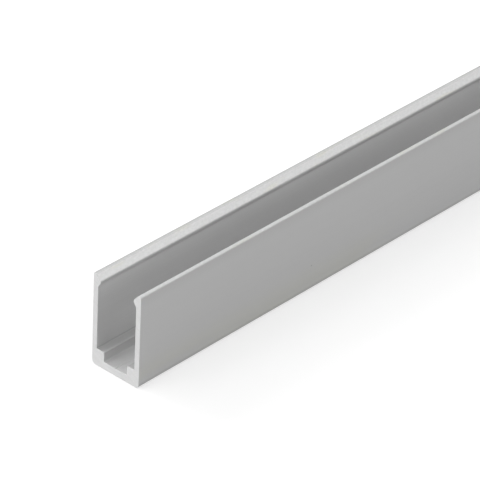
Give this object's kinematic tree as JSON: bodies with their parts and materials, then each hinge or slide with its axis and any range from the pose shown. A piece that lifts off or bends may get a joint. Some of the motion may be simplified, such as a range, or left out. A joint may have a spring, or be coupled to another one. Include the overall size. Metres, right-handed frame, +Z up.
{
  "type": "aluminium extrusion profile",
  "caption": "Straight length of deep aluminium U-channel with snap-in barbs inside its rims, ledges beside the floor and a recessed screw slot with a drilling groove.",
  "frame": {"origin": "centre of the underside, half way along the length", "axes": "+X along the length, +Y across the width, +Z up, out of the channel's open mouth"},
  "size_m": [1, 0.012, 0.02],
  "materials": {
    "anodised_aluminium": "satin"
  },
  "bodies": {
    "root": {"u_channel": "anodised_aluminium"}
  },
  "joints": []
}
